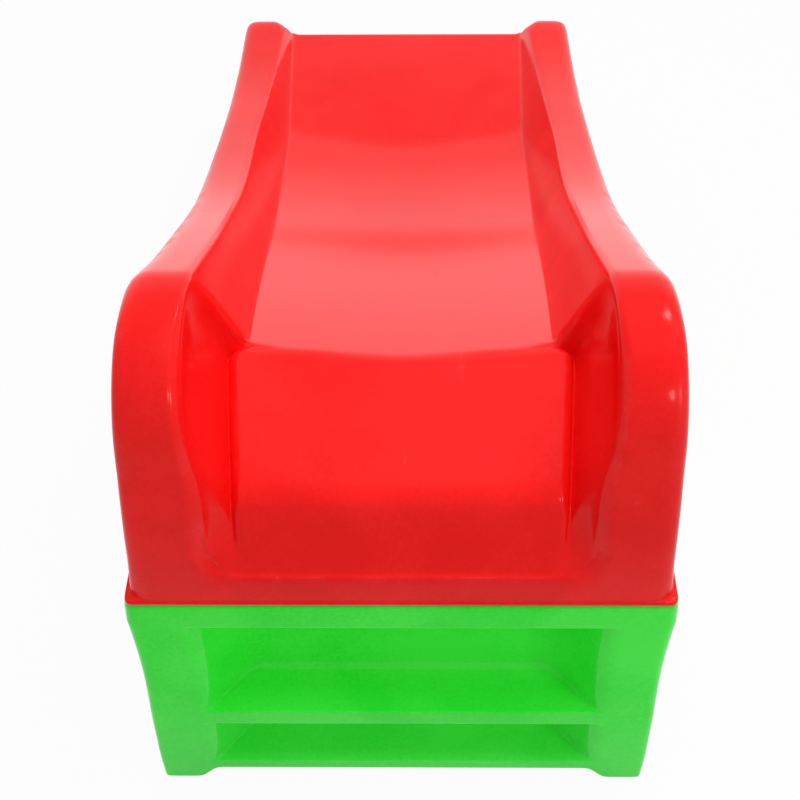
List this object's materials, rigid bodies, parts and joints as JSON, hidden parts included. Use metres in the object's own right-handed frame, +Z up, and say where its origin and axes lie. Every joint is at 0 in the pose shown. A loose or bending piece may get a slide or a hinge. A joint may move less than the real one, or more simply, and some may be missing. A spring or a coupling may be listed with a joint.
{
  "type": "toddler slide",
  "caption": "Small garden slide: a moulded chute with high rounded arms, a dished bed and a flat run-out, bolted to a box base with foot slots for steps.",
  "frame": {"origin": "centre of the bounding box on the ground", "axes": "+Z up; +Y along the slide from the climbing end at -Y to the run-out at +Y; X across, the slide is symmetric about X = 0"},
  "size_m": [0.5182, 1.205, 0.555],
  "materials": {
    "chute_red": "glossy moulded polyethylene",
    "base_green": "glossy moulded polyethylene",
    "bolt_steel": "zinc plated"
  },
  "bodies": {
    "root": {"chute_shell": "chute_red", "step_base": "base_green", "bolt_1": "bolt_steel", "washer_top_1": "bolt_steel", "washer_low_1": "bolt_steel", "nut_1": "bolt_steel", "bolt_2": "bolt_steel", "washer_top_2": "bolt_steel", "washer_low_2": "bolt_steel", "nut_2": "bolt_steel", "bolt_3": "bolt_steel", "washer_top_3": "bolt_steel", "washer_low_3": "bolt_steel", "nut_3": "bolt_steel", "bolt_4": "bolt_steel", "washer_top_4": "bolt_steel", "washer_low_4": "bolt_steel", "nut_4": "bolt_steel", "bolt_5": "bolt_steel", "washer_top_5": "bolt_steel", "washer_low_5": "bolt_steel", "nut_5": "bolt_steel", "bolt_6": "bolt_steel", "washer_top_6": "bolt_steel", "washer_low_6": "bolt_steel", "nut_6": "bolt_steel"}
  },
  "joints": []
}
